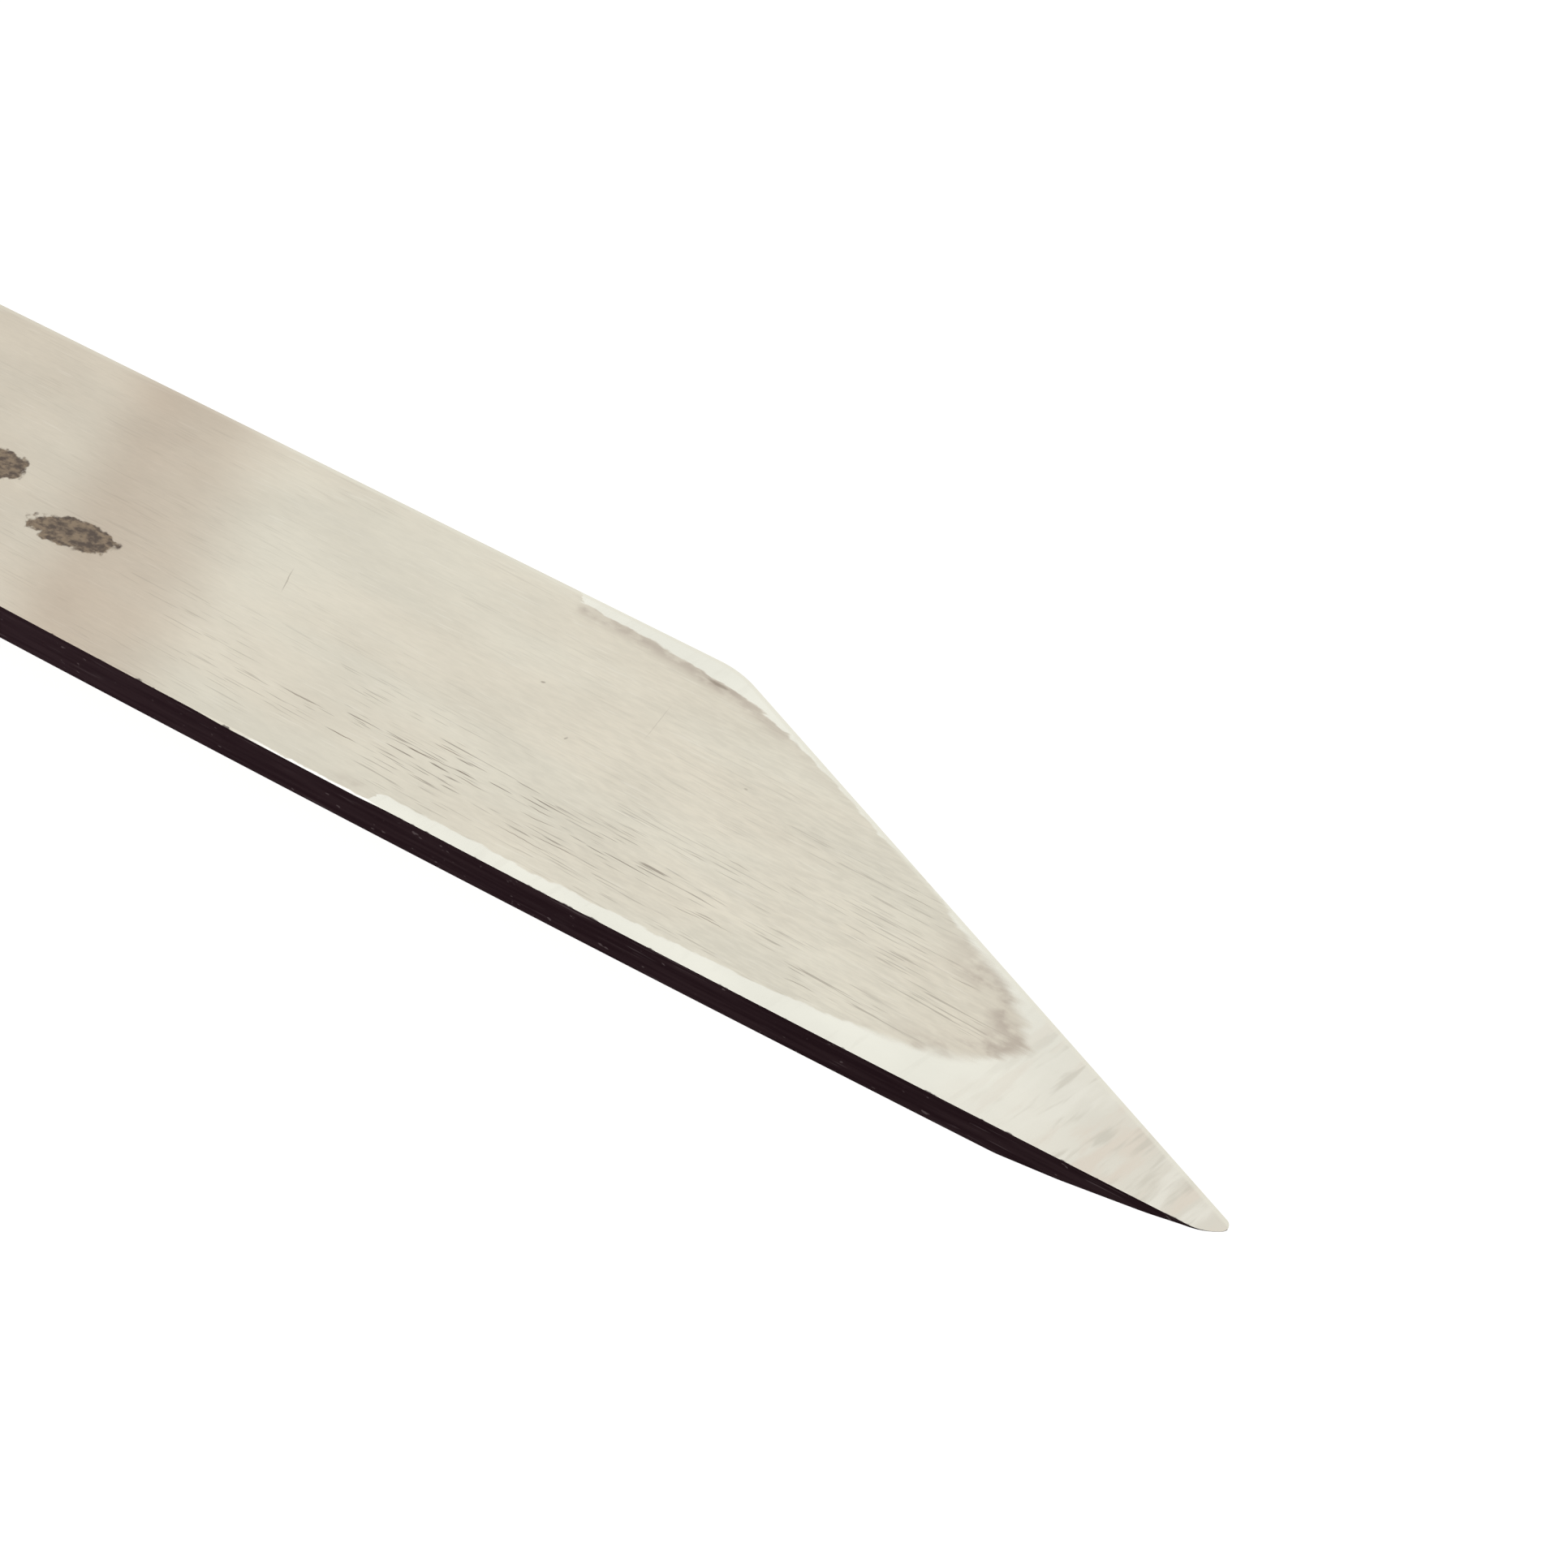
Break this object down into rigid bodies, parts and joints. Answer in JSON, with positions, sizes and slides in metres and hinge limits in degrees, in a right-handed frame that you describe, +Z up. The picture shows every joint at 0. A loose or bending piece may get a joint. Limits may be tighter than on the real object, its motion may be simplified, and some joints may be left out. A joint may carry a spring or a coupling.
{
  "type": "boning knife",
  "caption": "Single-bevel boning knife with a thick straight-edged blade, slanted point, full tang, bolster and riveted wooden handle.",
  "frame": {"origin": "middle of the knife's length and width, on the table under the lower scale", "axes": "+X along the blade to the tip, +Y from the spine to the cutting edge, +Z up out of the blade's flat side"},
  "size_m": [0.2856, 0.028, 0.018],
  "materials": {
    "blade_steel": "satin ground flat side with a stone-polished rim at the point, dark forge-scale spine",
    "bolster_steel": "satin",
    "handle_wood": "oiled dark hardwood",
    "rivet_brass": "ground flush, slightly tarnished"
  },
  "bodies": {
    "root": {"blade": "blade_steel", "bolster_left": "bolster_steel", "bolster_right": "bolster_steel", "bolster_pin_back": "bolster_steel", "bolster_pin_belly": "bolster_steel", "scale_left": "handle_wood", "scale_right": "handle_wood", "front_rivet_sleeve": "rivet_brass", "front_rivet_stud": "rivet_brass", "middle_rivet_sleeve": "rivet_brass", "middle_rivet_stud": "rivet_brass", "rear_rivet_sleeve": "rivet_brass", "rear_rivet_stud": "rivet_brass"}
  },
  "joints": []
}
